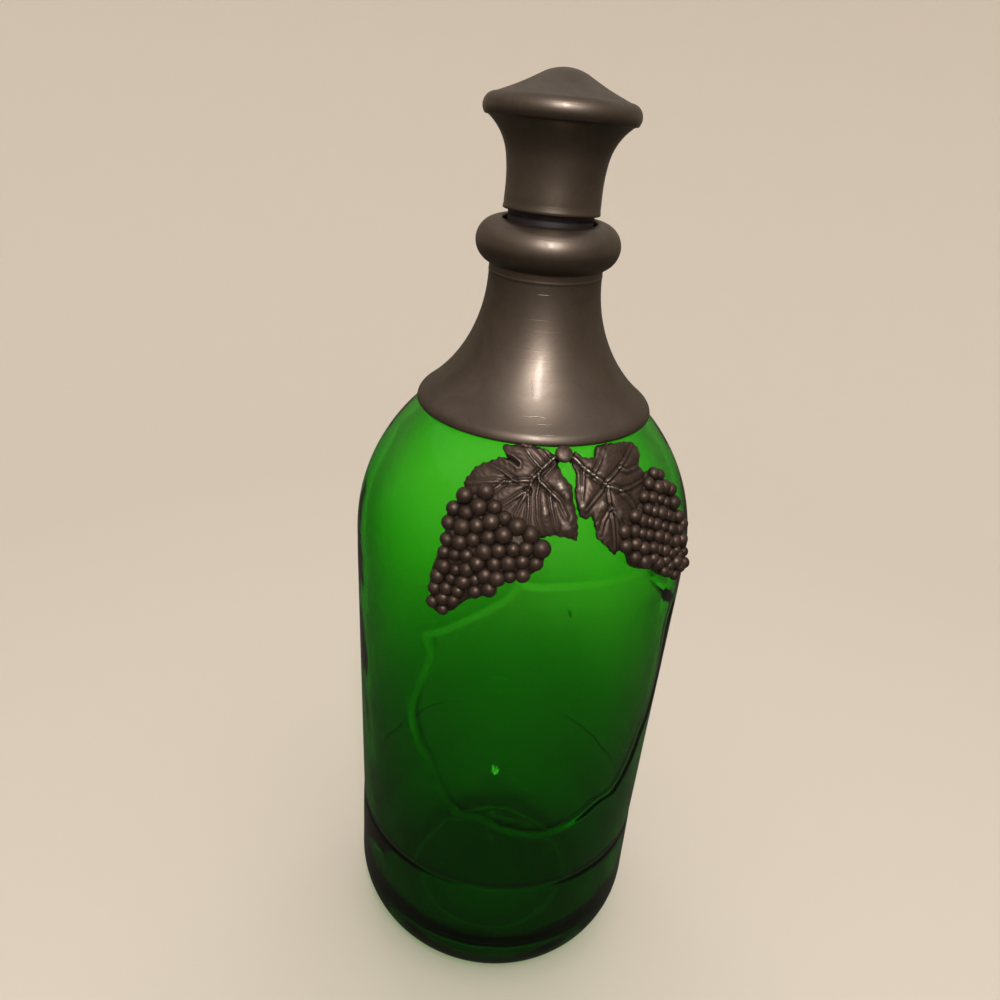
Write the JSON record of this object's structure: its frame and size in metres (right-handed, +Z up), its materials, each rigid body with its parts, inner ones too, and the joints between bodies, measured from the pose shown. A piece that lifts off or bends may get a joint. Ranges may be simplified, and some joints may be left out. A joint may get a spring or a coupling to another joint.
{
  "type": "glass decanter",
  "caption": "Tall green glass decanter with a recessed label panel, a metal collar over its neck, a metal capped stopper and cast grape and vine leaf ornaments.",
  "frame": {"origin": "on the bottle's axis at the plane it stands on", "axes": "+Z up along the bottle's axis; the label panel and the vine ornament face -Y; +X to the right seen from the front"},
  "size_m": [0.1108, 0.1109, 0.3091],
  "materials": {
    "green_glass": "clear emerald green blown glass, smooth and glossy",
    "pewter": "satin grey brown pewter with light scratches",
    "dark_plug": "blue black stopper plastic",
    "aged_casting": "cast and darkened metal, worn bright on its raised edges"
  },
  "bodies": {
    "root": {"glass_bottle": "green_glass", "collar": "pewter", "stopper_cap": "pewter", "stopper_plug": "dark_plug", "sprig_left": "aged_casting", "sprig_right": "aged_casting", "rivet": "aged_casting"}
  },
  "joints": []
}
